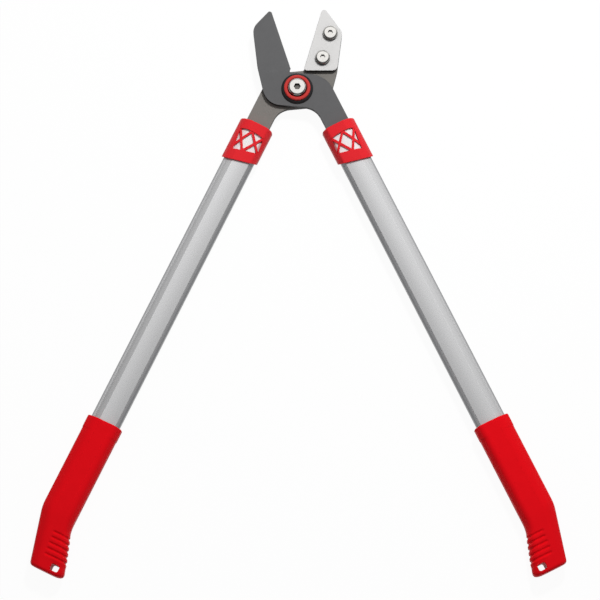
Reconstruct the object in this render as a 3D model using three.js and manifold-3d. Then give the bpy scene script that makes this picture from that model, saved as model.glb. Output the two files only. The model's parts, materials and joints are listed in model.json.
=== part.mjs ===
// Anvil lopper with bent plastic grips, lying on its back and half open.
// Millimetres. +Y points at the jaws, +X to the right-hand grip, +Z out of the front face.
// Head pieces are placed from the pivot axis. Handle pieces are placed in the frame of their handle:
// "along" runs down the tube from the foot of the pivot, "out" runs away from the other handle.
import * as THREE from 'three';
import { mergeVertices } from 'three/addons/utils/BufferGeometryUtils.js';
import Module from 'manifold-3d';

const wasm = await Module();
wasm.setup();

// Clearances
const fitGap = 0.3;
const seatGap = 0.1;
const overrun = 3;

// Facets of a rounded corner and of a full turn
const cornerSteps = 4;
const sectionSteps = 3;
const turnSteps = 32;
const pinSteps = 16;
const domeSteps = 4;

// Handles: angle to the centre line, and distance of each tube's axis from the pivot
const handleAngle = THREE.MathUtils.degToRad(25.9);
const handleOffset = 22.3;

// Tube section: a wide facet on the outer side, and faces that fall towards a narrow one on the inner side
const tubeLength = 465;
const tubeWidth = 33.6;
const tubeThickness = 24;
const tubeWall = 1.5;
const tubeOuterEdge = 7;
const tubeOuterRound = 8;
const tubeShoulder = 4.4;
const tubeShoulderFall = 2.8;
const tubeShoulderRound = 12;
const tubeFacet = 11.4;
const tubeFacetRound = 1.2;
const tubeMiddle = 20.9;
const tubeMiddleFall = 0.55;
const tubeMiddleRound = 100;
const tubeInnerFacet = 3.7;
const tubeInnerFall = 2.2;
const tubeInnerRound = 3.5;
const tubeInnerEdge = 8.4;
const tubeSideRound = 8;

// Collars
const collarTop = 57.5;
const collarEndWall = 3;
const collarWall = 2.5;
const collarOuterLength = 53.3;
const collarInnerLength = 45.3;
const collarRimLean = 0.3;
const collarRimRound = 1.8;
const rimRoundShare = 0.3;
const latticeBar = 2.6;

// Grips
const gripLength = 171;
const gripOverlap = 95;
const gripOuterHalf = 19.7;
const gripInnerHalf = 19.8;
const gripThickness = 29.6;
const gripEndThickness = 22;
const gripLipHeight = 0.5;
const gripLipLength = 13;
const gripLipFade = 2.5;
const gripOuterBend = 109;
const gripOuterBlend = 6;
const gripOuterSlope = 0.27;
const gripInnerBend = 121;
const gripInnerBlend = 8;
const gripInnerSlope = 0.35;
const gripFacet = 10;
const gripOuterEdge = 13;
const gripFacetRound = 12;
const gripOuterRound = 9;
const gripInnerFacet = 5;
const gripInnerEdge = 11;
const gripInnerRound = 7;
const gripSideRound = 10;
const gripEndRound = 3.2;
const gripHeelRound = 7;
const gripRoundShares = [0, 0.12, 0.45, 1];
const gripBendStations = 8;
const grooveCount = 5;
const grooveFirst = 129.5;
const groovePitch = 6.1;
const grooveWidth = 3;
const grooveDepth = 1.3;
const grooveEndRound = 1.35;
const grooveStart = 5.5;
const grooveStartStep = 0.6;
const holeLength = 7.2;
const holeWidth = 9.4;
const holeRound = 2;
const holeFromEnd = 7.6;
const holeFromInnerEdge = 10.8;

// Plates of the head
const plateThickness = 5;
const plateGap = 0.8;
const shankWidth = 27.5;
const webSlope = THREE.MathUtils.degToRad(5.3);
const webBelow = 21;
const bladeWebAbove = 19;
const carrierWebAbove = 22.7;
const shoulderRound = 30;
const crotchRound = 22;
const heelRound = 21;
const shankStepRound = 1;

// Tang inside the tube, its insert and the cross pins
const tangWidth = 18;
const tangLength = 88;
const insertLength = 70;
const pinRadius = 3;
const upperPinBack = 5;
const lowerPinBack = 38;

// Blade, in the frame of its cutting edge: reach runs along the edge, width runs to the spine
const bladeEdgeAngle = THREE.MathUtils.degToRad(17.6);
const bladeEdgeOffset = 0.4;
const bladeReach = 99.6;
const bladeTopFromTip = 15.2;
const bladeTopWidth = 26.1;
const bladeMiddleReach = 38.6;
const bladeMiddleWidth = 35;
const bladeHeelWidth = 38.2;
const bladeTopRound = 16;
const bladeSpineRound = 60;
const jawTipRound = 2.4;
const notchReach = 25.5;
const notchLength = 4.5;
const notchDepth = 2;
const notchRound = 0.5;
const grindWidth = 31;
const grindEdgeThickness = 2.6;
const bevelWidth = 3.6;
const cuttingEdgeThickness = 0.5;
const grindLine = 20.2;

// Anvil plate, in the frame of its face edge
const anvilEdgeAngle = THREE.MathUtils.degToRad(16.3);
const anvilClosingGap = 0.3;
const anvilThickness = 5.6;
const anvilPastBlade = 2.9;
const anvilTopFromTip = 23.9;
const anvilTopWidth = 29.4;
const anvilBottomWidth = 36.3;
const anvilBottomReach = 33.8;
const anvilHeelWidth = 37.4;
const anvilTopRound = 12;
const anvilBottom = 21.5;
const anvilInnerRound = 3;
const anvilOuterRound = 6.5;
const anvilTipRound = 3.3;
const carrierInset = 1;
const carrierTipInset = 3;
const carrierThroatRound = 5;

// Anvil screws
const screwShankRadius = 4;
const screwHeadRadius = 8.4;
const screwHeadRim = 2.2;
const screwHeadHeight = 4.8;
const screwHeadFlat = 6;
const screwSocketWidth = 5;
const screwSocketDepth = 2.6;
const upperScrewShare = 0.5075;
const upperScrewWidth = 16.8;
const lowerScrewReach = 42.8;
const lowerScrewWidth = 16.6;

// Pivot stack, from the front to the back
const boltRadius = 6;
const boltHeadRadius = 10.4;
const boltHeadRim = 2.4;
const boltHeadHeight = 5.6;
const boltHeadFlat = 7.4;
const boltSocketWidth = 6.5;
const boltSocketDepth = 3.4;
const boltEndPastNut = 0.4;
const redRingRadius = 14.8;
const redRingBase = 1;
const redRingCrown = 1.6;
const baseRingRadius = 17.7;
const baseRingHeight = 2.8;
const baseRingChamfer = 1.6;
const bushingWall = 2;
const glideWasherRadius = 18;
const rearWasherRadius = 13;
const rearWasherThickness = 1.6;
const nutWidth = 18;
const nutHeight = 6.6;
const nutChamfer = 1;

// Places that follow from the sizes above
const bladeBack = plateGap / 2;
const bladeFront = bladeBack + plateThickness;
const carrierFront = -plateGap / 2;
const carrierBack = carrierFront - plateThickness;
const anvilBack = carrierFront + seatGap;
const anvilFront = anvilBack + anvilThickness;
const anvilEdgeOffset = bladeEdgeOffset + anvilClosingGap;
const bladeTopReach = bladeReach - bladeTopFromTip;
const anvilReach = bladeReach + anvilPastBlade;
const anvilTopReach = anvilReach - anvilTopFromTip;
const upperScrewReach = lowerScrewReach + upperScrewShare * (anvilReach - lowerScrewReach);
const tubeStart = collarTop + collarEndWall + fitGap;
const tubeEnd = tubeStart + tubeLength;
const insertStart = tubeStart + shankStepRound;
const gripTop = tubeEnd - gripOverlap;
const bushingRadius = boltRadius + fitGap + bushingWall;
const baseRingBack = bladeFront + seatGap;
const baseRingFront = baseRingBack + baseRingHeight;
const rearWasherFront = carrierBack - seatGap;
const nutFront = rearWasherFront - rearWasherThickness - seatGap;
const nutBack = nutFront - nutHeight;

// Materials
const finish = (color, roughness, metalness) => (
  () => new THREE.MeshStandardMaterial({ color, roughness, metalness })
);
const coatedSteel = finish(0x616163, 0.5, 0.3);
const carrierSteel = finish(0x7b7975, 0.5, 0.3);
const anvilSteel = finish(0xd9d9d8, 0.4, 0.6);
const brightSteel = finish(0xdcdad6, 0.25, 0.9);
const anodised = finish(0xc6c7c8, 0.45, 0.7);
const redPlastic = finish(0xd00c18, 0.45, 0);
const ringPlastic = finish(0xbe4a46, 0.4, 0);
const blackPlastic = finish(0x202020, 0.5, 0);
const insertPlastic = finish(0x303134, 0.6, 0);
const bronze = finish(0xb08d57, 0.4, 0.8);

// Closed solids: joins and cuts
function toSolid(geometry) {
  const bare = geometry.clone();
  bare.deleteAttribute('normal');
  bare.deleteAttribute('uv');
  const merged = mergeVertices(bare);
  const corners = merged.index.array;
  const kept = [];
  for (let i = 0; i < corners.length; i += 3) {
    const [a, b, c] = [corners[i], corners[i + 1], corners[i + 2]];
    if (a !== b && b !== c && c !== a) kept.push(a, b, c);
  }
  return new wasm.Manifold(new wasm.Mesh({
    numProp: 3,
    vertProperties: new Float32Array(merged.attributes.position.array),
    triVerts: new Uint32Array(kept),
  }));
}

function toGeometry(solid) {
  const mesh = solid.getMesh();
  const geometry = new THREE.BufferGeometry();
  geometry.setAttribute('position', new THREE.BufferAttribute(mesh.vertProperties, 3));
  geometry.setIndex(new THREE.BufferAttribute(mesh.triVerts, 1));
  return geometry;
}

const join = (...parts) => toGeometry(parts.map(toSolid).reduce((whole, part) => whole.add(part)));
const cut = (body, ...tools) => (
  toGeometry(tools.map(toSolid).reduce((whole, tool) => whole.subtract(tool), toSolid(body)))
);
const common = (a, b) => toGeometry(toSolid(a).intersect(toSolid(b)));

// Outlines: corners are [x, y, radius], and each radius becomes an arc
function rounded(corners, steps = cornerSteps) {
  const points = [];
  corners.forEach(([x, y, radius], i) => {
    const [px, py] = corners[(i + corners.length - 1) % corners.length];
    const [nx, ny] = corners[(i + 1) % corners.length];
    const corner = new THREE.Vector2(x, y);
    const arriving = new THREE.Vector2(x - px, y - py).normalize();
    const leaving = new THREE.Vector2(nx - x, ny - y).normalize();
    const turn = Math.atan2(arriving.cross(leaving), arriving.dot(leaving));
    const reach = radius * Math.tan(Math.abs(turn) / 2);
    const toCentre = new THREE.Vector2(-arriving.y, arriving.x).multiplyScalar(Math.sign(turn) * radius);
    const centre = corner.clone().addScaledVector(arriving, -reach).add(toCentre);
    for (let step = 0; step <= steps; step += 1) {
      const spoke = toCentre.clone().negate().rotateAround(new THREE.Vector2(), turn * step / steps);
      points.push(centre.clone().add(spoke));
    }
  });
  return points;
}

// A convex outline moved outward by a distance, or inward by a negative one
function grown(corners, distance) {
  const lines = corners.map(([x, y], i) => {
    const [nx, ny] = corners[(i + 1) % corners.length];
    const along = new THREE.Vector2(nx - x, ny - y).normalize();
    const start = new THREE.Vector2(x + along.y * distance, y - along.x * distance);
    return { start, along };
  });
  return corners.map(([, , radius], i) => {
    const before = lines[(i + lines.length - 1) % lines.length];
    const after = lines[i];
    const between = after.start.clone().sub(before.start);
    const travel = between.cross(after.along) / before.along.cross(after.along);
    const corner = before.start.clone().addScaledVector(before.along, travel);
    return [corner.x, corner.y, Math.max(radius + distance, tubeFacetRound / 2)];
  });
}

function prism(points, back, front) {
  const geometry = new THREE.ExtrudeGeometry(new THREE.Shape(points), {
    depth: front - back,
    bevelEnabled: false,
  });
  return geometry.translate(0, 0, back);
}

// A solid turned about the pivot axis from a closed profile of [radius, height]
function turned(profile, steps = turnSteps) {
  const points = profile.map(([radius, height]) => new THREE.Vector2(radius, height));
  points.push(points[0].clone());
  return new THREE.LatheGeometry(points, steps).rotateX(Math.PI / 2);
}

const ring = (inner, outer, back, front) => (
  turned([[inner, back], [outer, back], [outer, front], [inner, front]])
);
const rod = (radius, back, front, steps) => (
  turned([[0, back], [radius, back], [radius, front], [0, front]], steps)
);

function hexagon(width, back, front) {
  const corners = [];
  for (let side = 0; side < 6; side += 1) {
    const angle = Math.PI * side / 3;
    const radius = width / Math.sqrt(3);
    corners.push(new THREE.Vector2(radius * Math.cos(angle), radius * Math.sin(angle)));
  }
  return prism(corners, back, front);
}

// A solid through rings of points, with flat ends
function loft(rings) {
  const count = rings[0].length;
  const positions = rings.flat().flatMap((point) => [point.x, point.y, point.z]);
  const faces = [];
  for (let row = 0; row + 1 < rings.length; row += 1) {
    for (let k = 0; k < count; k += 1) {
      const here = row * count + k;
      const next = row * count + (k + 1) % count;
      faces.push(here, next, next + count, here, next + count, here + count);
    }
  }
  const last = (rings.length - 1) * count;
  for (let k = 1; k + 1 < count; k += 1) {
    faces.push(0, k + 1, k, last, last + k, last + k + 1);
  }
  const [a, b, c] = [rings[0][0], rings[0][1], rings[1][0]];
  const inside = new THREE.Vector3();
  rings[0].forEach((point) => inside.add(point));
  inside.divideScalar(count);
  const normal = b.clone().sub(a).cross(c.clone().sub(a));
  if (normal.dot(a.clone().sub(inside)) < 0) faces.reverse();
  const geometry = new THREE.BufferGeometry();
  geometry.setAttribute('position', new THREE.Float32BufferAttribute(positions, 3));
  geometry.setIndex(faces);
  return geometry;
}

// Handle frame: side is 1 for the right-hand handle and -1 for the left-hand one
const handleSpot = (side, along, out, height) => (
  new THREE.Vector3(side * (handleOffset + out), -along, height)
);
const handleRing = (side, along, section) => (
  section.map((point) => handleSpot(side, along, point.x, point.y))
);
const handleBar = (side, start, end, corners) => (
  loft([start, end].map((along) => handleRing(side, along, rounded(corners, sectionSteps))))
);
const handlePlate = (side, outline, back, front) => (
  prism(outline.map(({ x, y }) => new THREE.Vector2(side * (handleOffset + x), -y)), back, front)
);
const handlePin = (side, radius, along, back, front) => (
  rod(radius, back, front, pinSteps).translate(side * handleOffset, -along, 0)
);

// The same point of a handle, in the frame of the head
function onHandle(along, out) {
  const across = handleOffset + out;
  return [
    across * Math.cos(handleAngle) + along * Math.sin(handleAngle),
    across * Math.sin(handleAngle) - along * Math.cos(handleAngle),
  ];
}

// The same point of a jaw, in the frame of the head: lean is 1 for a jaw that leans to +X
function onJaw(lean, angle, reach, width) {
  return [
    lean * (reach * Math.sin(angle) + width * Math.cos(angle)),
    reach * Math.cos(angle) - width * Math.sin(angle),
  ];
}
const onBlade = (reach, width) => onJaw(-1, bladeEdgeAngle, reach, width - bladeEdgeOffset);
const onAnvil = (reach, width) => onJaw(1, anvilEdgeAngle, reach, width + anvilEdgeOffset);

// Where the line through start with a slope meets the line of the handle at a distance out
function meetHandle(startY, slope, out) {
  const [hx, hy] = onHandle(0, out);
  const dx = Math.sin(handleAngle);
  const dy = -Math.cos(handleAngle);
  const rise = Math.tan(slope);
  const travel = (startY + rise * hx - hy) / (dy - rise * dx);
  return [hx + dx * travel, hy + dy * travel];
}

// Where the line through two points meets a line with a slope
function meetLine([ax, ay], [bx, by], startY, slope) {
  const rise = Math.tan(slope);
  const share = (startY + rise * ax - ay) / (by - ay - rise * (bx - ax));
  return [ax + (bx - ax) * share, ay + (by - ay) * share];
}

// Tube section, in [out, height, radius]: the front half from the outer side, and the same behind it
const tubeFront = [
  [tubeWidth / 2, tubeOuterEdge / 2, tubeOuterRound],
  [tubeWidth / 2 - tubeShoulder, tubeThickness / 2 - tubeShoulderFall, tubeShoulderRound],
  [tubeWidth / 2 - tubeFacet, tubeThickness / 2, tubeFacetRound],
  [tubeWidth / 2 - tubeMiddle, tubeThickness / 2 - tubeMiddleFall, tubeMiddleRound],
  [tubeInnerFacet - tubeWidth / 2, tubeThickness / 2 - tubeInnerFall, tubeInnerRound],
  [-tubeWidth / 2, tubeInnerEdge / 2, tubeSideRound],
];
const tubeBack = tubeFront.map(([out, height, radius]) => [out, -height, radius]).reverse();
const tubeCorners = [...tubeFront, ...tubeBack];
const pinHeight = tubeThickness / 2 - tubeMiddleFall;
const pinSpots = { upper: tubeStart + upperPinBack, lower: tubeStart + lowerPinBack };

function tube(side) {
  const outside = handleBar(side, tubeStart, tubeEnd, tubeCorners);
  const inside = handleBar(side, tubeStart - overrun, tubeEnd + overrun, grown(tubeCorners, -tubeWall));
  const holes = Object.values(pinSpots).map((along) => (
    handlePin(side, pinRadius + fitGap, along, -pinHeight - overrun, pinHeight + overrun)
  ));
  return cut(outside, inside, ...holes);
}

function tangInsert(side, back, front) {
  const block = handleBar(side, insertStart, insertStart + insertLength, grown(tubeCorners, -tubeWall - fitGap));
  const slot = handlePlate(side, rounded([
    [tangWidth / 2 + fitGap, tubeStart - overrun, shankStepRound],
    [tangWidth / 2 + fitGap, tubeStart + tangLength + overrun, shankStepRound],
    [-tangWidth / 2 - fitGap, tubeStart + tangLength + overrun, shankStepRound],
    [-tangWidth / 2 - fitGap, tubeStart - overrun, shankStepRound],
  ]), back - fitGap, front + fitGap);
  const holes = Object.values(pinSpots).map((along) => (
    handlePin(side, pinRadius + fitGap, along, -pinHeight, pinHeight)
  ));
  return cut(block, slot, ...holes);
}

const crossPin = (side, along) => (
  handlePin(side, pinRadius, along, seatGap - pinHeight, pinHeight - seatGap)
);

// Collar: a sleeve with an end wall, a slanting lower rim and a window of crossed bars on both faces
const collarHalfWidth = tubeWidth / 2 + fitGap + collarWall;
const onCollar = ([outShare, alongShare]) => (
  new THREE.Vector2(outShare * collarHalfWidth, collarTop + alongShare * collarOuterLength)
);
const windowShares = [
  [0.69, 0.239], [0.4, 0.218], [-0.02, 0.216], [-0.42, 0.228], [-0.76, 0.251],
  [-0.83, 0.603], [0.54, 0.722],
];
const barShares = [
  [[0.69, 0.239], [0.01, 0.689]],
  [[-0.02, 0.216], [0.7, 0.679]],
  [[-0.02, 0.216], [-0.88, 0.622]],
  [[-0.76, 0.251], [-0.02, 0.67]],
];

function latticeBarPlate(side, [startShares, endShares], back, front) {
  const start = onCollar(startShares);
  const end = onCollar(endShares);
  const along = end.clone().sub(start).normalize();
  const across = new THREE.Vector2(-along.y, along.x).multiplyScalar(latticeBar / 2);
  start.addScaledVector(along, -latticeBar);
  end.addScaledVector(along, latticeBar);
  return handlePlate(side, [
    start.clone().add(across), end.clone().add(across), end.clone().sub(across), start.clone().sub(across),
  ], back, front);
}

function collar(side, slotBack, slotFront) {
  const growth = fitGap + collarWall;
  const middleRound = rimRoundShare * collarRimRound;
  const stations = [[0, collarRimRound], [middleRound, middleRound], [collarRimRound, 0]];
  const rings = stations.map(([depth, pull]) => (
    handleRing(side, collarTop + depth, rounded(grown(tubeCorners, growth - pull), sectionSteps))
  ));
  rings.push(handleRing(
    side, collarTop + collarOuterLength + overrun, rounded(grown(tubeCorners, growth), sectionSteps),
  ));
  const sleeve = loft(rings);
  const bore = handleBar(
    side, collarTop + collarEndWall, collarTop + collarOuterLength + 2 * overrun, grown(tubeCorners, fitGap),
  );
  const slope = (collarOuterLength - collarInnerLength) / (2 * collarHalfWidth);
  const faceHeight = tubeThickness / 2 + growth;
  const far = 4 * overrun + collarOuterLength - collarInnerLength;
  const rim = loft([-collarHalfWidth - overrun, collarHalfWidth + overrun].map((out) => {
    const atFace = collarTop + collarOuterLength - slope * (collarHalfWidth - out);
    const atHeight = (height) => atFace + collarRimLean * (height - faceHeight);
    return [
      handleSpot(side, atHeight(tubeThickness), out, tubeThickness),
      handleSpot(side, atFace + far, out, tubeThickness),
      handleSpot(side, atFace + far, out, -tubeThickness),
      handleSpot(side, atHeight(-tubeThickness), out, -tubeThickness),
    ];
  }));
  const slot = handlePlate(side, rounded([
    [shankWidth / 2 + fitGap, collarTop - overrun, shankStepRound],
    [shankWidth / 2 + fitGap, tubeStart, shankStepRound],
    [-shankWidth / 2 - fitGap, tubeStart, shankStepRound],
    [-shankWidth / 2 - fitGap, collarTop - overrun, shankStepRound],
  ]), slotBack - fitGap, slotFront + fitGap);
  const window = handlePlate(side, windowShares.map(onCollar), -tubeThickness, tubeThickness);
  const bars = barShares.map((shares) => latticeBarPlate(side, shares, -tubeThickness, tubeThickness));
  return cut(sleeve, bore, rim, slot, cut(window, ...bars));
}

// Grip: a straight sleeve over the tube that bends inward and ends square to the tube
function bendShift(along, bend, blend, slope) {
  const entered = along - bend + blend;
  if (entered <= 0) return 0;
  if (entered >= 2 * blend) return slope * (along - bend);
  return slope * entered * entered / (4 * blend);
}

// How far a surface draws back at a depth below an end with a rounded edge
function roundedOff(depth, radius) {
  const lost = Math.max(radius - depth, 0);
  return radius - Math.sqrt(radius ** 2 - lost ** 2);
}

function gripCorners(along, inset) {
  const fromEnd = gripLength - along;
  const lip = along <= gripLipLength ? gripLipHeight : 0;
  const pull = inset + roundedOff(Math.min(along, fromEnd), gripEndRound);
  const thinning = (gripThickness - gripEndThickness) / 2 / (gripLength - gripOuterBend);
  const outer = gripOuterHalf + lip - bendShift(along, gripOuterBend, gripOuterBlend, gripOuterSlope);
  const inner = -gripInnerHalf - lip - bendShift(along, gripInnerBend, gripInnerBlend, gripInnerSlope)
    + roundedOff(fromEnd, gripHeelRound);
  const half = gripThickness / 2 - bendShift(along, gripOuterBend, gripOuterBlend, thinning);
  return grown([
    [outer, -gripOuterEdge / 2, gripOuterRound],
    [outer, gripOuterEdge / 2, gripOuterRound],
    [outer - gripFacet, half, gripFacetRound],
    [inner + gripInnerFacet, half, gripInnerRound],
    [inner, gripInnerEdge / 2, gripSideRound],
    [inner, -gripInnerEdge / 2, gripSideRound],
    [inner + gripInnerFacet, -half, gripInnerRound],
    [outer - gripFacet, -half, gripFacetRound],
  ], -pull);
}

function gripBody(side, inset) {
  const bendStart = gripOuterBend - gripOuterBlend;
  const bendEnd = gripLength - gripHeelRound;
  const places = gripRoundShares.map((share) => share * gripEndRound);
  places.push(gripLipLength, gripLipLength + gripLipFade);
  for (let step = 0; step <= gripBendStations; step += 1) {
    places.push(bendStart + (bendEnd - bendStart) * step / gripBendStations);
  }
  gripRoundShares.slice(0, -1).reverse().forEach((share) => places.push(gripLength - share * gripHeelRound));
  return loft(places.map((place) => (
    handleRing(side, gripTop + place, rounded(gripCorners(place, inset), sectionSteps))
  )));
}

function grip(side) {
  const past = gripThickness / 2 + overrun;
  const bore = handleBar(side, gripTop - overrun, tubeEnd + fitGap, grown(tubeCorners, fitGap));
  const innerPast = gripInnerHalf + gripInnerSlope * (gripLength - gripInnerBend) + overrun;
  const slabs = [];
  for (let groove = 0; groove < grooveCount; groove += 1) {
    const middle = gripTop + grooveFirst + groovePitch * groove;
    const start = -grooveStart - grooveStartStep * groove;
    slabs.push(handlePlate(side, rounded([
      [start, middle - grooveWidth / 2, grooveEndRound],
      [start, middle + grooveWidth / 2, grooveEndRound],
      [-innerPast, middle + grooveWidth / 2, shankStepRound],
      [-innerPast, middle - grooveWidth / 2, shankStepRound],
    ]), -past, past));
  }
  const grooves = cut(join(...slabs), gripBody(side, grooveDepth));
  const holeAlong = gripLength - holeFromEnd;
  const holeOut = holeFromInnerEdge - gripInnerHalf
    - bendShift(holeAlong, gripInnerBend, gripInnerBlend, gripInnerSlope);
  const hole = handlePlate(side, rounded([
    [holeOut + holeWidth / 2, gripTop + holeAlong - holeLength / 2, holeRound],
    [holeOut + holeWidth / 2, gripTop + holeAlong + holeLength / 2, holeRound],
    [holeOut - holeWidth / 2, gripTop + holeAlong + holeLength / 2, holeRound],
    [holeOut - holeWidth / 2, gripTop + holeAlong - holeLength / 2, holeRound],
  ]), -past, past);
  return cut(gripBody(side, 0), bore, grooves, hole);
}

// The shank and web that both plates share, from the shoulder round to the underside
function armCorners(webAbove) {
  const half = shankWidth / 2;
  const step = tubeStart - seatGap;
  const end = tubeStart + tangLength;
  return [
    [...meetHandle(webAbove, -webSlope, half), shoulderRound],
    [...onHandle(step, half), shankStepRound],
    [...onHandle(step, tangWidth / 2), shankStepRound],
    [...onHandle(end, tangWidth / 2), shankStepRound],
    [...onHandle(end, -tangWidth / 2), shankStepRound],
    [...onHandle(step, -tangWidth / 2), shankStepRound],
    [...onHandle(step, -half), shankStepRound],
    [...meetHandle(-webBelow, -webSlope, -half), crotchRound],
  ];
}
const mirrored = (corners) => corners.map(([x, y, radius]) => [-x, y, radius]);
const headHole = (radius, [x, y], steps = pinSteps) => (
  rod(radius, carrierBack - overrun, anvilFront + overrun, steps).translate(x, y, 0)
);

// One side of the grinding: a wedge that leaves a given thickness at the cutting edge
function grinding(width, thickness, face, startThickness) {
  const middle = (bladeBack + bladeFront) / 2;
  const slope = (startThickness - thickness) / 2 / width;
  const heightAt = (across) => middle + face * (thickness / 2 + slope * across);
  const past = middle + face * (plateThickness / 2 + overrun);
  const wedge = prism([
    new THREE.Vector2(width, heightAt(width)),
    new THREE.Vector2(width, past),
    new THREE.Vector2(-overrun, past),
    new THREE.Vector2(-overrun, heightAt(-overrun)),
  ], -overrun, bladeReach + overrun);
  const [ox, oy] = onBlade(0, 0);
  const [rx, ry] = onBlade(1, 0);
  const [wx, wy] = onBlade(0, 1);
  wedge.applyMatrix4(new THREE.Matrix4().makeBasis(
    new THREE.Vector3(wx - ox, wy - oy, 0),
    new THREE.Vector3(0, 0, 1),
    new THREE.Vector3(rx - ox, ry - oy, 0),
  ));
  return wedge.translate(ox, oy, 0);
}

function bladeArm() {
  const middle = onBlade(bladeMiddleReach, bladeMiddleWidth);
  const heel = meetLine(middle, onBlade(0, bladeHeelWidth), -webBelow, -webSlope);
  const notchEnd = notchReach - notchLength;
  const arm = prism(rounded([
    ...armCorners(bladeWebAbove),
    [...heel, heelRound],
    [...middle, bladeSpineRound],
    [...onBlade(bladeTopReach, bladeTopWidth), bladeTopRound],
    [...onBlade(bladeReach, 0), jawTipRound],
    [...onBlade(notchReach, 0), notchRound],
    [...onBlade((notchReach + notchEnd) / 2, notchDepth), notchRound],
    [...onBlade(notchEnd, notchDepth), notchRound],
  ]), bladeBack, bladeFront);
  const jawSide = prism([
    new THREE.Vector2(-bladeReach, grindLine),
    new THREE.Vector2(bladeReach, grindLine),
    new THREE.Vector2(bladeReach, bladeReach + overrun),
    new THREE.Vector2(-bladeReach, bladeReach + overrun),
  ], bladeBack - 2 * overrun, bladeFront + 2 * overrun);
  const bevelStart = grindEdgeThickness
    + (plateThickness - grindEdgeThickness) * bevelWidth / grindWidth;
  const grindings = [1, -1].flatMap((face) => [
    common(grinding(grindWidth, grindEdgeThickness, face, plateThickness), jawSide),
    common(grinding(bevelWidth, cuttingEdgeThickness, face, bevelStart), jawSide),
  ]);
  const pinHoles = Object.values(pinSpots).map((along) => headHole(pinRadius + fitGap, onHandle(along, 0)));
  return cut(arm, headHole(bushingRadius + fitGap, [0, 0], turnSteps), ...pinHoles, ...grindings);
}

const screwSpots = {
  upper: onAnvil(upperScrewReach, upperScrewWidth),
  lower: onAnvil(lowerScrewReach, lowerScrewWidth),
};

function anvilCarrier() {
  const bottom = onAnvil(anvilBottomReach, anvilBottomWidth);
  const heel = meetLine(bottom, onAnvil(0, anvilHeelWidth), -webBelow, webSlope);
  const throat = meetLine(
    onAnvil(0, carrierInset), onAnvil(anvilReach, carrierInset), carrierWebAbove, webSlope,
  );
  const plate = prism(rounded([
    ...mirrored(armCorners(carrierWebAbove)),
    [...heel, heelRound],
    [...bottom, bladeSpineRound],
    [...onAnvil(anvilTopReach, anvilTopWidth), anvilTopRound],
    [...onAnvil(anvilReach - carrierTipInset, carrierInset), anvilTipRound],
    [...throat, carrierThroatRound],
  ]), carrierBack, carrierFront);
  const pinHoles = Object.values(pinSpots).map((along) => {
    const [x, y] = onHandle(along, 0);
    return headHole(pinRadius + fitGap, [-x, y]);
  });
  const screwHoles = Object.values(screwSpots).map((spot) => headHole(screwShankRadius + fitGap, spot));
  return cut(plate, headHole(bushingRadius + fitGap, [0, 0], turnSteps), ...pinHoles, ...screwHoles);
}

function anvilPlate() {
  const level = (width) => meetLine(onAnvil(0, width), onAnvil(anvilReach, width), anvilBottom, 0);
  const plate = prism(rounded([
    [...level(0), anvilInnerRound],
    [...level(anvilBottomWidth), anvilOuterRound],
    [...onAnvil(anvilTopReach, anvilTopWidth), anvilTopRound],
    [...onAnvil(anvilReach, 0), anvilTipRound],
  ]), anvilBack, anvilFront);
  return cut(plate, ...Object.values(screwSpots).map((spot) => headHole(screwShankRadius + fitGap, spot)));
}

// A domed screw or bolt with a hexagon socket: its head sits on the seat
function domedBolt(head, shank, seat) {
  const profile = [[0, shank.end], [shank.radius, shank.end], [shank.radius, seat], [head.radius, seat]];
  for (let step = 0; step <= domeSteps; step += 1) {
    const angle = Math.PI / 2 * step / domeSteps;
    profile.push([
      head.flat + (head.radius - head.flat) * Math.cos(angle),
      seat + head.rim + (head.height - head.rim) * Math.sin(angle),
    ]);
  }
  profile.push([0, seat + head.height]);
  const top = seat + head.height;
  return cut(turned(profile), hexagon(head.socketWidth, top - head.socketDepth, top + overrun));
}

const anvilScrew = ([x, y]) => domedBolt({
  radius: screwHeadRadius,
  rim: screwHeadRim,
  height: screwHeadHeight,
  flat: screwHeadFlat,
  socketWidth: screwSocketWidth,
  socketDepth: screwSocketDepth,
}, { radius: screwShankRadius, end: carrierBack + seatGap }, anvilFront + seatGap).translate(x, y, 0);

const pivotBolt = () => domedBolt({
  radius: boltHeadRadius,
  rim: boltHeadRim,
  height: boltHeadHeight,
  flat: boltHeadFlat,
  socketWidth: boltSocketWidth,
  socketDepth: boltSocketDepth,
}, { radius: boltRadius, end: nutBack - boltEndPastNut }, baseRingFront + seatGap);

function redRing() {
  const inner = boltHeadRadius + fitGap;
  const back = baseRingFront + seatGap;
  const middle = (inner + redRingRadius) / 2;
  const profile = [[inner, back], [redRingRadius, back]];
  for (let step = 0; step <= domeSteps; step += 1) {
    const angle = Math.PI * step / domeSteps;
    profile.push([
      middle + (redRingRadius - inner) / 2 * Math.cos(angle),
      back + redRingBase + redRingCrown * Math.sin(angle),
    ]);
  }
  return turned(profile);
}

const baseRing = () => turned([
  [boltRadius + fitGap, baseRingBack],
  [baseRingRadius, baseRingBack],
  [baseRingRadius, baseRingFront - baseRingChamfer],
  [baseRingRadius - baseRingChamfer, baseRingFront],
  [boltRadius + fitGap, baseRingFront],
]);

function lockNut() {
  const corner = nutWidth / Math.sqrt(3);
  const bulk = turned([
    [boltRadius + fitGap, nutBack],
    [corner - nutChamfer, nutBack],
    [corner, nutBack + nutChamfer / 2],
    [corner, nutFront - nutChamfer / 2],
    [corner - nutChamfer, nutFront],
    [boltRadius + fitGap, nutFront],
  ]);
  return common(bulk, hexagon(nutWidth, nutBack - overrun, nutFront + overrun));
}

// Assembly
function piece(parent, name, geometry, material) {
  const mesh = new THREE.Mesh(geometry, material());
  mesh.name = name;
  parent.add(mesh);
}

const lopper = new THREE.Group();
const head = new THREE.Group();
lopper.add(head);

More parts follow.
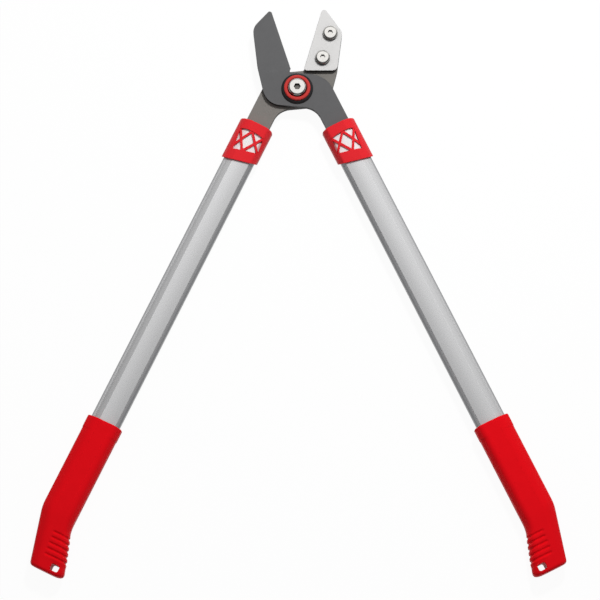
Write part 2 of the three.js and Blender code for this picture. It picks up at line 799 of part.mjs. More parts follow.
piece(head, 'blade_arm', bladeArm(), coatedSteel);
piece(head, 'anvil_carrier', anvilCarrier(), carrierSteel);
piece(head, 'anvil_plate', anvilPlate(), anvilSteel);
piece(head, 'anvil_screw_upper', anvilScrew(screwSpots.upper), brightSteel);
piece(head, 'anvil_screw_lower', anvilScrew(screwSpots.lower), brightSteel);
piece(head, 'pivot_bolt', pivotBolt(), brightSteel);
piece(head, 'pivot_red_ring', redRing(), ringPlastic);
piece(head, 'pivot_base_ring', baseRing(), blackPlastic);
piece(head, 'pivot_bushing', ring(
  boltRadius + fitGap, bushingRadius, carrierBack + seatGap, bladeFront - seatGap,
), bronze);
piece(head, 'pivot_glide_washer', ring(
  bushingRadius + fitGap, glideWasherRadius, carrierFront + seatGap, bladeBack - seatGap,
), bronze);
piece(head, 'pivot_rear_washer', ring(
  boltRadius + fitGap, rearWasherRadius, rearWasherFront - rearWasherThickness, rearWasherFront,
), brightSteel);
piece(head, 'pivot_lock_nut', lockNut(), brightSteel);

const sides = [
  { name: 'left', side: -1, back: carrierBack, front: carrierFront },
  { name: 'right', side: 1, back: bladeBack, front: bladeFront },
];
sides.forEach(({ name, side, back, front }) => {
  const handle = new THREE.Group();
  handle.rotation.z = side * handleAngle;
  lopper.add(handle);
  piece(handle, `${name}_tube`, tube(side), anodised);
  piece(handle, `${name}_tang_insert`, tangInsert(side, back, front), insertPlastic);
  piece(handle, `${name}_upper_pin`, crossPin(side, pinSpots.upper), brightSteel);
  piece(handle, `${name}_lower_pin`, crossPin(side, pinSpots.lower), brightSteel);
  piece(handle, `${name}_collar`, collar(side, back, front), redPlastic);
  piece(handle, `${name}_grip`, grip(side), redPlastic);
});

// Origin at the middle of the underside
lopper.updateMatrixWorld(true);
const bounds = new THREE.Box3().setFromObject(lopper, true);
lopper.position.set(
  -(bounds.min.x + bounds.max.x) / 2,
  -(bounds.min.y + bounds.max.y) / 2,
  -bounds.min.z,
);

export default lopper;
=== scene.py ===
# Anvil lopper: the looks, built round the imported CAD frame.
import json
import math

import bmesh
import bpy
from mathutils import Matrix, Vector
from mathutils.geometry import tessellate_polygon


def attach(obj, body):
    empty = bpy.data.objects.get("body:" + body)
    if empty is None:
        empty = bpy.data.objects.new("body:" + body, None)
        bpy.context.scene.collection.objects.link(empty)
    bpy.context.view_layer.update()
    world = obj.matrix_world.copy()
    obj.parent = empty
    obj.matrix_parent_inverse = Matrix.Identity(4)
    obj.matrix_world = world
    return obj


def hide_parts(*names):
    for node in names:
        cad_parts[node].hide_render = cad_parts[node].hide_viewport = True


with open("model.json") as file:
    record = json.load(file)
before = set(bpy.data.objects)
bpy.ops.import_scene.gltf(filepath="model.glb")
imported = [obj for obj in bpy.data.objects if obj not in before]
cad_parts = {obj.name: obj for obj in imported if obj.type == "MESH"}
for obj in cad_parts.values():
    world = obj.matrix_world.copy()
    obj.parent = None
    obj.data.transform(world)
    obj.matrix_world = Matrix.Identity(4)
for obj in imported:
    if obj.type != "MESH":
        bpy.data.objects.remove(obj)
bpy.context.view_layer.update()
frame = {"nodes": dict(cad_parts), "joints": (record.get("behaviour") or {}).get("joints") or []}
pivot = Vector(frame["joints"][0]["pos_m"])

# Lengths below are in millimetres, measured from the pivot, and become metres when a mesh is made
MM = 0.001

# Handles
handle_angle = math.radians(25.9)
handle_offset = 22.3
tube_length = 465
tube_width = 33.6
tube_thickness = 24
tube_wall = 1.5
lit_tube_margin = 2
tube_facet = 11.4
tube_outer_edge = 7
tube_outer_round = 8
tube_shoulder = 4.4
tube_shoulder_fall = 2.8
tube_shoulder_round = 12
tube_facet_round = 1.2
tube_middle = 20.9
tube_middle_fall = 0.55
tube_middle_round = 100
tube_inner_facet = 3.7
tube_inner_fall = 2.2
tube_inner_round = 1.2
tube_inner_edge = 8.4
tube_side_round = 8
fit_gap = 0.3
seat_gap = 0.1
overrun = 3
least_round = 0.6

# Collars
collar_top = 57.5
collar_end_wall = 3
collar_wall = 2.5
collar_outer_length = 53.3
collar_inner_length = 45.3
collar_rim_round = 1.8
collar_lip_round = 0.7
collar_rim_lean = 0.3
collar_soft_edge = 0.3
lattice_bar = 2.6
lattice_bar_overrun = 1
lattice_recess = 0.7
recess_round = 0.1

# Grips
grip_length = 171
grip_overlap = 95
grip_outer_half = 19.7
grip_inner_half = 19.8
grip_thickness = 29.6
grip_end_thickness = 22
grip_lip_height = 0.5
grip_lip_length = 13
grip_lip_fade = 2.5
grip_outer_bend = 109
grip_outer_blend = 6
grip_outer_slope = 0.27
grip_inner_bend = 121
grip_inner_blend = 8
grip_inner_slope = 0.35
grip_facet = 10
grip_outer_edge = 13
grip_facet_round = 12
grip_outer_round = 9
grip_inner_facet = 5
grip_inner_edge = 11
grip_inner_round = 7
grip_side_round = 10
grip_end_round = 3.2
grip_heel_round = 7
grip_top_round = 1.2
grip_mouth_length = 0.6
grip_mouth_flare = 0.3
groove_count = 5
groove_first = 129.5
groove_pitch = 6.1
groove_width = 4.3
groove_depth = 1.35
groove_start = 5.5
groove_start_step = 0.6
groove_fade = 1.6
rib_rise = 0.8
rib_start_share = 0.7
rib_fade = 5
hole_length = 7.2
hole_width = 9.4
hole_round = 2
hole_from_end = 7.6
hole_from_inner_edge = 10.8
hole_flare = 0.35
hole_flare_past_share = 2.4
hole_flare_lift = 0.1
hole_tool_past_face = 1.4

# Plates of the head
plate_thickness = 5
plate_gap = 0.8
plate_edge_round = 0.45
shank_width = 27.5
web_slope = math.radians(5.3)
web_below = 21
blade_web_above = 19
carrier_web_above = 22.7
shoulder_round = 30
crotch_round = 22
heel_round = 21
shank_step_round = 1
tang_width = 18
tang_length = 88

# Blade
blade_edge_angle = math.radians(17.6)
blade_edge_offset = 0.4
blade_reach = 99.6
blade_top_from_tip = 15.2
blade_top_width = 26.1
blade_middle_reach = 38.6
blade_middle_width = 35
blade_heel_width = 38.2
blade_top_round = 16
blade_spine_round = 60
jaw_tip_round = 2.4
notch_reach = 25.5
notch_length = 4.5
notch_depth = 2
notch_round = 0.5
grind_width = 31
grind_edge_thickness = 2.6
bevel_width = 3.6
cutting_edge_thickness = 0.5
grind_line = 20.2
grind_ramp = 1.6

# Anvil plate
anvil_edge_angle = math.radians(16.3)
anvil_closing_gap = 0.3
anvil_thickness = 5.6
anvil_past_blade = 2.9
anvil_top_from_tip = 23.9
anvil_top_width = 29.4
anvil_bottom_width = 36.3
anvil_bottom_reach = 33.8
anvil_heel_width = 37.4
anvil_top_round = 12
anvil_bottom = 21.5
anvil_inner_round = 3
anvil_outer_round = 6.5
anvil_tip_round = 3.3
anvil_edge_round = 0.6
carrier_inset = 1
carrier_tip_inset = 3
carrier_throat_round = 5
anvil_screw_radius = 4
screw_head = {"radius": 8.4, "rim": 2.2, "height": 4.8, "flat": 6, "socket_width": 5, "socket_depth": 2.6}
upper_screw_share = 0.5075
upper_screw_width = 16.8
lower_screw_reach = 42.8
lower_screw_width = 16.6

# Pivot stack
head_soft_edge = 0.25
bore_round = 0.1
bolt_radius = 6
bolt_head = {"radius": 10.4, "rim": 2.4, "height": 5.6, "flat": 8, "socket_width": 6.5, "socket_depth": 3.4}
bolt_past_nut = 0.4
red_ring_radius = 14.8
red_ring_base = 1
red_ring_crown = 1.6
base_ring_radius = 17.7
base_ring_height = 2.8
base_ring_chamfer = 1.6
base_ring_back_round = 0.3
base_ring_front_round = 0.9
bushing_wall = 2
rear_washer_radius = 13
rear_washer_thickness = 1.6
rear_washer_back_round = 0.5
rear_washer_front_round = 0.2
nut_width = 18
nut_height = 6.6
nut_chamfer = 1
nut_collar_radius = 7.8
nut_collar_height = 1.3
nut_collar_taper = 0.6
nut_collar_taper_height = 0.5

# Camera, in the frame of the pivot
camera_spot = (2.45, -791.33, 2289.2)
camera_tilt = math.radians(13.5)
camera_roll = math.radians(0.156)
camera_lens = 129
camera_sensor = 36

# Floor and lamp, in metres and watts, and how far the camera sees
half_floor = 12
floor_colour = (252, 252, 252)
floor_bounce = (210, 210, 210)
floor_glow_share = 0.95
lamp_spot = (0.3, 0.75, 1.25)
lamp_target = (0.0, 0.1, 0.0)
lamp_size = 0.22
lamp_power = 15.3
camera_sight = 30

# Facets, and how far apart the grip's rings lie
same_spot = 1e-4
same_plane = 1e-5
sharpest_corner_share = 0.4
socket_reach_share = 1.01
corner_steps = 8
small_corner_steps = 5
turn_steps = 96
screw_hole_steps = 32
dome_steps = 12
edge_steps = 3
section_steps = 6
grip_section_steps = 7
tube_steps = 12
rim_steps = 6
flare_steps = 4
grip_end_steps = 12
grip_station = 2.5
grip_lip_station = 0.3
grip_lip_margin = 2.5
groove_station = 0.45
groove_margin_above = 6
groove_margin_below = 2

# Places that follow from the sizes
blade_back = plate_gap / 2
blade_front = blade_back + plate_thickness
carrier_front = -plate_gap / 2
carrier_back = carrier_front - plate_thickness
anvil_back = carrier_front + seat_gap
anvil_front = anvil_back + anvil_thickness
anvil_edge_offset = blade_edge_offset + anvil_closing_gap
blade_top_reach = blade_reach - blade_top_from_tip
anvil_reach = blade_reach + anvil_past_blade
anvil_top_reach = anvil_reach - anvil_top_from_tip
upper_screw_reach = lower_screw_reach + upper_screw_share * (anvil_reach - lower_screw_reach)
tube_start = collar_top + collar_end_wall + fit_gap
tube_end = tube_start + tube_length
grip_top = tube_end - grip_overlap
bushing_radius = bolt_radius + fit_gap + bushing_wall
base_ring_back = blade_front + seat_gap
base_ring_front = base_ring_back + base_ring_height
rear_washer_front = carrier_back - seat_gap
rear_washer_back = rear_washer_front - rear_washer_thickness
nut_front = rear_washer_back - seat_gap
nut_back = nut_front - nut_height
tube_end_chamfer = tube_wall / 4
collar_half_width = tube_width / 2 + fit_gap + collar_wall


# Outlines
def quarter(steps):
    """Angles from zero to a quarter turn."""
    return [math.pi / 2 * k / steps for k in range(steps + 1)]


def rounded(corners, steps=corner_steps):
    """Corners are (x, y, radius), and each radius becomes an arc."""
    points = []
    for i, (x, y, radius) in enumerate(corners):
        before, after = corners[i - 1], corners[(i + 1) % len(corners)]
        arriving = Vector((x - before[0], y - before[1])).normalized()
        leaving = Vector((after[0] - x, after[1] - y)).normalized()
        turn = math.atan2(arriving.cross(leaving), arriving.dot(leaving))
        reach = radius * math.tan(abs(turn) / 2)
        to_centre = Vector((-arriving.y, arriving.x)) * math.copysign(radius, turn)
        centre = Vector((x, y)) - arriving * reach + to_centre
        for step in range(steps + 1):
            points.append(centre + Matrix.Rotation(turn * step / steps, 2) @ -to_centre)
    return points


def grown(corners, distance):
    """A convex outline moved outward by a distance, or inward by a negative one."""
    lines = []
    for i, (x, y, _) in enumerate(corners):
        after = corners[(i + 1) % len(corners)]
        along = Vector((after[0] - x, after[1] - y)).normalized()
        lines.append((Vector((x + along.y * distance, y - along.x * distance)), along))
    moved = []
    for i, (_, _, radius) in enumerate(corners):
        before, after = lines[i - 1], lines[i]
        travel = (after[0] - before[0]).cross(after[1]) / before[1].cross(after[1])
        corner = before[0] + before[1] * travel
        moved.append((corner.x, corner.y, max(radius + distance, least_round)))
    return moved


def without_repeats(points):
    return [p for i, p in enumerate(points) if (p - points[i - 1]).length > same_spot]


def drawn_in(points, distance, outward=False):
    """An outline with every point moved inward by a small distance, or outward."""
    area = sum(points[i - 1].cross(p) for i, p in enumerate(points))
    sense = math.copysign(1, area) * (-1 if outward else 1)
    moved = []
    for i, point in enumerate(points):
        a = (point - points[i - 1]).normalized()
        b = (points[(i + 1) % len(points)] - point).normalized()
        na, nb = Vector((-a.y, a.x)), Vector((-b.y, b.x))
        bisector = (na + nb) / max(1 + na.dot(nb), sharpest_corner_share)
        moved.append(point + bisector * distance * sense)
    return moved


def circle(radius, centre=(0, 0), steps=turn_steps):
    angles = [math.tau * k / steps for k in range(steps)]
    return [Vector((centre[0] + radius * math.cos(a), centre[1] + radius * math.sin(a))) for a in angles]


def hexagon(width, centre=(0, 0)):
    """A hexagon that is width across its flats."""
    return circle(width / math.sqrt(3), centre, 6)


# Meshes
def as_object(name, shape):
    """Makes an object of a mesh in millimetres, and uses the mesh up."""
    bmesh.ops.remove_doubles(shape, verts=shape.verts, dist=same_spot)
    bmesh.ops.recalc_face_normals(shape, faces=shape.faces)
    for vertex in shape.verts:
        vertex.co = pivot + vertex.co * MM
    mesh = bpy.data.meshes.new(name)
    shape.to_mesh(mesh)
    shape.free()
    made = bpy.data.objects.new(name, mesh)
    bpy.context.scene.collection.objects.link(made)
    return made


def joined(shape, low, high):
    """Puts a face between each pair of neighbours in two rows of points."""
    for k in range(len(low)):
        after = (k + 1) % len(low)
        shape.faces.new((low[k], low[after], high[after], high[k]))


def loft(rings, loop=False):
    """A skin over rings with equal numbers of points, capped at both ends or closed in a loop."""
    shape = bmesh.new()
    rows = [[shape.verts.new(point) for point in ring] for ring in rings]
    for low, high in zip(rows, rows[1:]):
        joined(shape, low, high)
    if loop:
        joined(shape, rows[-1], rows[0])
    else:
        shape.faces.new(rows[0])
        shape.faces.new(rows[-1])
    return shape


def prism(points, back, front):
    return loft([[(p.x, p.y, height) for p in points] for height in (back, front)])


def turned(profile, centre=(0, 0)):
    """A closed profile of (radius, height) turned about an axis parallel to the pivot."""
    rings = []
    for step in range(turn_steps):
        angle = math.tau * step / turn_steps
        rings.append([
            Vector((centre[0] + r * math.cos(angle), centre[1] + r * math.sin(angle), z)) for r, z in profile
        ])
    return loft(rings, loop=True)


def edge_profile(back, front, edge):
    """(height, inset) from the back face to the front face, with rounded edges."""
    low = [(back + edge * (1 - math.cos(a)), edge * (1 - math.sin(a))) for a in quarter(edge_steps)]
    high = [(front - (height - back), inset) for height, inset in reversed(low)]
    return low + high


def plate(outline, holes, back, front, edge):
    """A plate with rounded edges round its outline and its holes."""
    outline = without_repeats(outline)
    shape = bmesh.new()
    profile = edge_profile(back, front, edge)
    walls = []
    for index, points in enumerate([outline, *holes]):
        rows = []
        for height, inset in profile:
            ring = drawn_in(points, inset, outward=index > 0) if inset else points
            rows.append([shape.verts.new((p.x, p.y, height)) for p in ring])
        for low, high in zip(rows, rows[1:]):
            joined(shape, low, high)
        walls.append(rows)
    for row in (0, -1):
        loops = [rows[row] for rows in walls]
        flat = [vertex for loop in loops for vertex in loop]
        for triangle in tessellate_polygon([[vertex.co for vertex in loop] for loop in loops]):
            shape.faces.new([flat[i] for i in triangle])
    return shape


def carved(body, *tools, operation="DIFFERENCE"):
    """The body with each tool cut from it, or kept only where a tool is. The tools are used up."""
    for tool in tools:
        step = body.modifiers.new("carve", "BOOLEAN")
        step.operation = operation
        step.solver = "EXACT"
        step.object = tool
        evaluated = body.evaluated_get(bpy.context.evaluated_depsgraph_get())
        mesh = bpy.data.meshes.new_from_object(evaluated)
        body.modifiers.clear()
        old = body.data
        body.data = mesh
        bpy.data.meshes.remove(old)
        bpy.data.objects.remove(tool)
    return body


def softened(made, width, angle=40):
    """Rounds the edges at which the surface turns by more than an angle in degrees."""
    edges = made.modifiers.new("soft edges", "BEVEL")
    edges.width = width * MM
    edges.segments = 2
    edges.limit_method = "ANGLE"
    edges.angle_limit = math.radians(angle)
    edges.harden_normals = False
    return made


def dressed(made, body, node, slot, *materials, sharp=35, weighted=True):
    """Puts a piece on its body, in the place of its CAD node, with its materials and shading. The slot is
    not used.
    """
    places = [face.material_index for face in made.data.polygons]
    made.data.materials.clear()
    for material in materials:
        made.data.materials.append(material)
    for face, place in zip(made.data.polygons, places):
        face.material_index = min(place, len(materials) - 1)
        face.use_smooth = True
    made.data.set_sharp_from_angle(angle=math.radians(sharp))
    if weighted:
        normals = made.modifiers.new("face normals", "WEIGHTED_NORMAL")
        normals.keep_sharp = True
    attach(made, body)
    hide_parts(node)


# Handle frame: along runs down the handle, and out points away from the other one
def on_handle(side, along, out):
    """Side is 1 for the right-hand handle and -1 for the left-hand one."""
    across = handle_offset + out
    return Vector((
        side * (across * math.cos(handle_angle) + along * math.sin(handle_angle)),
        across * math.sin(handle_angle) - along * math.cos(handle_angle),
    ))


def handle_ring(side, along, points):
    """Points (out, height) of a section, at a distance along the handle or at one that each point gives."""
    ring = []
    for p in points:
        place = on_handle(side, along(p) if callable(along) else along, p.x)
        ring.append(Vector((place.x, place.y, p.y)))
    return ring


# Jaw frame: reach runs from the pivot to the tip, and width from the cutting line to the jaw's back
def on_jaw(lean, angle, reach, width):
    """Lean is 1 for the jaw that leans to +X and -1 for the other one."""
    return (
        lean * (reach * math.sin(angle) + width * math.cos(angle)),
        reach * math.cos(angle) - width * math.sin(angle),
    )


def on_blade(reach, width):
    return on_jaw(-1, blade_edge_angle, reach, width - blade_edge_offset)


def on_anvil(reach, width):
    return on_jaw(1, anvil_edge_angle, reach, width + anvil_edge_offset)


def meet_handle(start_y, slope, out):
    """Where a line that leaves the Y axis with a slope meets the handle's long side at out."""
    hx, hy = on_handle(1, 0, out)
    dx, dy = math.sin(handle_angle), -math.cos(handle_angle)
    rise = math.tan(slope)
    travel = (start_y + rise * hx - hy) / (dy - rise * dx)
    return hx + dx * travel, hy + dy * travel


def meet_line(a, b, start_y, slope):
    """Where a line that leaves the Y axis with a slope meets the line through a and b."""
    rise = math.tan(slope)
    share = (start_y + rise * a[0] - a[1]) / (b[1] - a[1] - rise * (b[0] - a[0]))
    return a[0] + (b[0] - a[0]) * share, a[1] + (b[1] - a[1]) * share


def arm_corners(web_above):
    """The right-hand web, shank and tang, which both plates share apart from the web's upper edge."""
    half = shank_width / 2
    step = tube_start - seat_gap
    end = tube_start + tang_length
    return [
        (*meet_handle(web_above, -web_slope, half), shoulder_round),
        (*on_handle(1, step, half), shank_step_round),
        (*on_handle(1, step, tang_width / 2), shank_step_round),
        (*on_handle(1, end, tang_width / 2), shank_step_round),
        (*on_handle(1, end, -tang_width / 2), shank_step_round),
        (*on_handle(1, step, -tang_width / 2), shank_step_round),
        (*on_handle(1, step, -half), shank_step_round),
        (*meet_handle(-web_below, -web_slope, -half), crotch_round),
    ]


def mirrored(corners):
    return [(-x, y, radius) for x, y, radius in corners]


# Colours are written as sRGB values, from 0 to 255
def colour(red, green, blue):
    def linear(value):
        share = value / 255
        return share / 12.92 if share <= 0.04045 else ((share + 0.055) / 1.055) ** 2.4
    return (linear(red), linear(green), linear(blue), 1)


def added(tree, kind, feeds, **settings):
    """The outputs of a new shader node, whose inputs are fed by other outputs or set to values."""
    node = tree.nodes.new("ShaderNode" + kind)
    for name, value in settings.items():
        setattr(node, name, value)
    for socket, value in feeds.items():
        if isinstance(value, bpy.types.NodeSocket):
            tree.links.new(value, node.inputs[socket])
        else:
            node.inputs[socket].default_value = value
    return node.outputs


class Surface:
    """A procedural material on one Principled shader."""

    def __init__(self, name, base, roughness, metallic=0.0, **sockets):
        self.material = bpy.data.materials.new(name)
        self.material.use_nodes = True
        self.tree = self.material.node_tree
        self.shader = self.tree.nodes["Principled BSDF"]
        self.base = base
        self.roughness = roughness
        self.shader.inputs["Base Color"].default_value = base
        self.shader.inputs["Roughness"].default_value = roughness
        self.shader.inputs["Metallic"].default_value = metallic
        for socket, value in sockets.items():
            self.shader.inputs[socket.replace("_", " ")].default_value = value
        self.coordinates = self.tree.nodes.new("ShaderNodeTexCoord").outputs
        self.painted = None

    def feed(self, source, socket):
        self.tree.links.new(source, self.shader.inputs[socket])
        return self

    def noise(self, size, detail):
        """Noise whose features are about size millimetres across."""
        feeds = {"Vector": self.coordinates["Object"], "Scale": 1 / (size * MM), "Detail": detail}
        return added(self.tree, "TexNoise", feeds)["Fac"]

    def ranged(self, value, low, high, start=0.3, end=0.7):
        """A value that runs from start to end, made to run from low to high."""
        feeds = {"Value": value, "From Min": start, "From Max": end, "To Min": low, "To Max": high}
        return added(self.tree, "MapRange", feeds)["Result"]

    def mixed(self, factor, first, second):
        """Two colours mixed: a Mix node has them in its inputs 6 and 7 and the result in its output 2."""
        return added(self.tree, "Mix", {0: factor, 6: first, 7: second}, data_type="RGBA")[2]

    def paint(self, source):
        self.painted = source
        return self.feed(source, "Base Color")

    def shade_walls(self, edge, upright, flat):
        """Paints shade on a flat piece's walls, in a darker colour, by how far the surface faces up or down.
        """
        height = added(self.tree, "SeparateXYZ", {0: self.coordinates["Normal"]})["Z"]
        level = added(self.tree, "Math", {0: height}, operation="ABSOLUTE")[0]
        return self.paint(self.mixed(self.ranged(level, 0, 1, upright, flat), edge, self.painted))

    def tint(self, factor, darker, lighter):
        """Varies the base colour between a darker and a lighter multiple of itself."""
        ends = [tuple(channel * by for channel in self.base[:3]) + (1,) for by in (darker, lighter)]
        return self.paint(self.mixed(factor, *ends))

    def rough(self, factor, spread):
        return self.feed(self.ranged(factor, self.roughness - spread, self.roughness + spread), "Roughness")

    def bump(self, height, depth):
        """Raises the surface by height times depth millimetres."""
        feeds = {"Height": height, "Strength": 1, "Distance": depth * MM}
        return self.feed(added(self.tree, "Bump", feeds)["Normal"], "Normal")


def coated(name, base, roughness):
    made = Surface(name, base, roughness, Specular_IOR_Level=0.22)
    made.tint(made.noise(size=9, detail=4), darker=0.95, lighter=1.05)
    # Painted shade: the plate's walls and rounded edges are painted near black
    made.shade_walls(colour(26, 26, 27), upright=0.3, flat=0.9)
    made.rough(made.noise(size=3, detail=4), spread=0.06)
    made.bump(made.noise(size=0.35, detail=2), depth=0.008)
    return made.material


coated_steel = coated("coated_steel", colour(96, 96, 97), 0.5)
carrier_steel = coated("carrier_steel", colour(124, 121, 117), 0.5)

anvil_surface = Surface("anvil_steel", colour(221, 220, 219), 0.45, metallic=0.2)
anvil_surface.tint(anvil_surface.noise(size=0.8, detail=3), darker=0.97, lighter=1.02)
# Painted shade: the anvil plate's walls and rounded edges are painted near black
anvil_surface.shade_walls(colour(36, 36, 37), upright=0.3, flat=0.85)
anvil_surface.bump(anvil_surface.noise(size=0.3, detail=2), depth=0.006)
anvil_steel = anvil_surface.material


def polished(name, base, roughness):
    made = Surface(name, base, roughness, metallic=1.0)
    made.rough(made.noise(size=1.5, detail=3), spread=0.05)
    made.tint(made.noise(size=2.5, detail=3), darker=0.97, lighter=1.02)
    return made


bright_steel = polished("bright_steel", colour(172, 171, 168), 0.3).material
# Painted shade: a darker copy of the screw steel for the pivot bolt's hex socket
shaded_socket_steel = polished("shaded_socket_steel", colour(130, 127, 122), 0.4).material
screw_surface = polished("screw_steel", colour(218, 216, 212), 0.2)
# Painted shade and painted dark reflection: the steep sides of the domed heads are painted near black
screw_surface.shade_walls(colour(40, 39, 38), upright=0.3, flat=0.7)
screw_steel = screw_surface.material

tube_surface = Surface("anodised_tube", colour(222, 222, 223), 0.28, metallic=0.5)
tube_surface.tint(tube_surface.noise(size=3, detail=2), darker=0.985, lighter=1.015)
# Painted shade: the tube's sides and tilted facets are painted a darker grey
tube_surface.shade_walls(colour(122, 123, 125), upright=0.5, flat=0.8)
tube_surface.rough(tube_surface.noise(size=3, detail=2), spread=0.02)
tube_surface.bump(tube_surface.noise(size=1, detail=2), depth=0.0008)
anodised_tube = tube_surface.material
# Painted light: a lighter copy of the tube's material for the outside under the collar, seen through its
# windows
lit_tube_surface = Surface("lit_tube", colour(244, 244, 244), 0.4, metallic=0.2)
lit_tube_surface.tint(lit_tube_surface.noise(size=2, detail=2), darker=0.98, lighter=1.01)
lit_tube = lit_tube_surface.material


def plastic(name, base, roughness, grain, depth, gloss=0.12):
    made = Surface(name, base, roughness, Specular_IOR_Level=gloss)
    made.tint(made.noise(size=14, detail=3), darker=0.95, lighter=1.05)
    made.rough(made.noise(size=2.2, detail=3), spread=0.05)
    made.bump(made.noise(size=grain, detail=2), depth)
    return made.material


grip_red = plastic("grip_red", colour(238, 15, 26), roughness=0.45, grain=0.5, depth=0.02, gloss=0.04)
collar_red = plastic("collar_red", colour(224, 41, 48), roughness=0.42, grain=0.5, depth=0.02)
ring_red = plastic("ring_red", colour(196, 62, 58), roughness=0.3, grain=0.6, depth=0.01)
ring_black = plastic("ring_black", colour(42, 42, 43), roughness=0.45, grain=0.5, depth=0.02)
insert_plastic = plastic("insert_plastic", colour(48, 49, 52), roughness=0.6, grain=0.5, depth=0.02)

bronze_surface = Surface("bronze", colour(176, 141, 87), 0.35, metallic=1.0)
bronze_surface.tint(bronze_surface.noise(size=1.2, detail=3), darker=0.9, lighter=1.05)
bronze_surface.bump(bronze_surface.noise(size=0.5, detail=3), depth=0.01)
bronze = bronze_surface.material

for node_name, own in {
    "pivot_bushing": bronze, "pivot_glide_washer": bronze,
    "left_tang_insert": insert_plastic, "right_tang_insert": insert_plastic,
    "left_upper_pin": bright_steel, "left_lower_pin": bright_steel,
    "right_upper_pin": bright_steel, "right_lower_pin": bright_steel,
}.items():
    kept = frame["nodes"][node_name]
    for material_slot in kept.material_slots:
        material_slot.material = own


# Blade arm
def blade_outline():
    middle = on_blade(blade_middle_reach, blade_middle_width)
    heel = meet_line(middle, on_blade(0, blade_heel_width), -web_below, -web_slope)
    notch_end = notch_reach - notch_length
    return rounded([
        *arm_corners(blade_web_above),
        (*heel, heel_round),
        (*middle, blade_spine_round),
        (*on_blade(blade_top_reach, blade_top_width), blade_top_round),
        (*on_blade(blade_reach, 0), jaw_tip_round),
        (*on_blade(notch_reach, 0), notch_round),
        (*on_blade((notch_reach + notch_end) / 2, notch_depth), notch_round),
        (*on_blade(notch_end, notch_depth), notch_round),
    ])


def sliced(shape, point, normal):
    bmesh.ops.bisect_plane(
        shape, geom=shape.verts[:] + shape.edges[:] + shape.faces[:],
        plane_co=point, plane_no=normal, dist=same_plane,
    )


def ground(shape):
    """Thins the jaw towards its cutting edge, in a narrow bevel and a wide shallow grind."""
    origin = Vector((*on_blade(0, 0), 0))
    across = Vector((*on_blade(0, 1), 0)) - origin
    for width in (bevel_width, grind_width):
        sliced(shape, origin + across * width, across)
    for line in (grind_line, grind_line + grind_ramp):
        sliced(shape, Vector((0, line, 0)), Vector((0, 1, 0)))
    middle = (blade_back + blade_front) / 2
    slope = (plate_thickness - grind_edge_thickness) / grind_width
    bevel_start = grind_edge_thickness + slope * bevel_width
    for vertex in shape.verts:
        width = (vertex.co - origin).dot(across)
        thickness = plate_thickness
        if width < bevel_width:
            share = max(width, 0) / bevel_width
            thickness = cutting_edge_thickness + (bevel_start - cutting_edge_thickness) * share
        elif width < grind_width:
            thickness = grind_edge_thickness + slope * width
        entered = min(max((vertex.co.y - grind_line) / grind_ramp, 0), 1)
        ratio = 1 + (thickness / plate_thickness - 1) * entered
        vertex.co.z = middle + (vertex.co.z - middle) * ratio
    return shape


blade_shape = plate(
    blade_outline(), [circle(bushing_radius + fit_gap)], blade_back, blade_front, plate_edge_round,
)
dressed(
    as_object("blade_arm_look", ground(blade_shape)),
    "blade_side", "blade_arm", "coated_steel", coated_steel, sharp=12,
)

# Anvil carrier and anvil plate
screw_spots = {
    "upper": on_anvil(upper_screw_reach, upper_screw_width),
    "lower": on_anvil(lower_screw_reach, lower_screw_width),
}
screw_holes = [circle(anvil_screw_radius + fit_gap, spot, screw_hole_steps) for spot in screw_spots.values()]


def carrier_outline():
    bottom = on_anvil(anvil_bottom_reach, anvil_bottom_width)
    heel = meet_line(bottom, on_anvil(0, anvil_heel_width), -web_below, web_slope)
    throat = meet_line(
        on_anvil(0, carrier_inset), on_anvil(anvil_reach, carrier_inset), carrier_web_above, web_slope,
    )
    return rounded([
        *mirrored(arm_corners(carrier_web_above)),
        (*heel, heel_round),
        (*bottom, blade_spine_round),
        (*on_anvil(anvil_top_reach, anvil_top_width), anvil_top_round),
        (*on_anvil(anvil_reach - carrier_tip_inset, carrier_inset), anvil_tip_round),
        (*throat, carrier_throat_round),
    ])


carrier_shape = plate(
    carrier_outline(), [circle(bushing_radius + fit_gap), *screw_holes],
    carrier_back, carrier_front, plate_edge_round,
)
dressed(
    as_object("anvil_carrier_look", carrier_shape),
    "anvil_side", "anvil_carrier", "carrier_steel", carrier_steel,
)


def anvil_outline():
    def level(width):
        return meet_line(on_anvil(0, width), on_anvil(anvil_reach, width), anvil_bottom, 0)
    return rounded([
        (*level(0), anvil_inner_round),
        (*level(anvil_bottom_width), anvil_outer_round),
        (*on_anvil(anvil_top_reach, anvil_top_width), anvil_top_round),
        (*on_anvil(anvil_reach, 0), anvil_tip_round),
    ])


anvil_shape = plate(anvil_outline(), screw_holes, anvil_back, anvil_front, anvil_edge_round)
dressed(
    as_object("anvil_plate_look", anvil_shape),
    "anvil_side", "anvil_plate", "anvil_steel", anvil_steel,
)


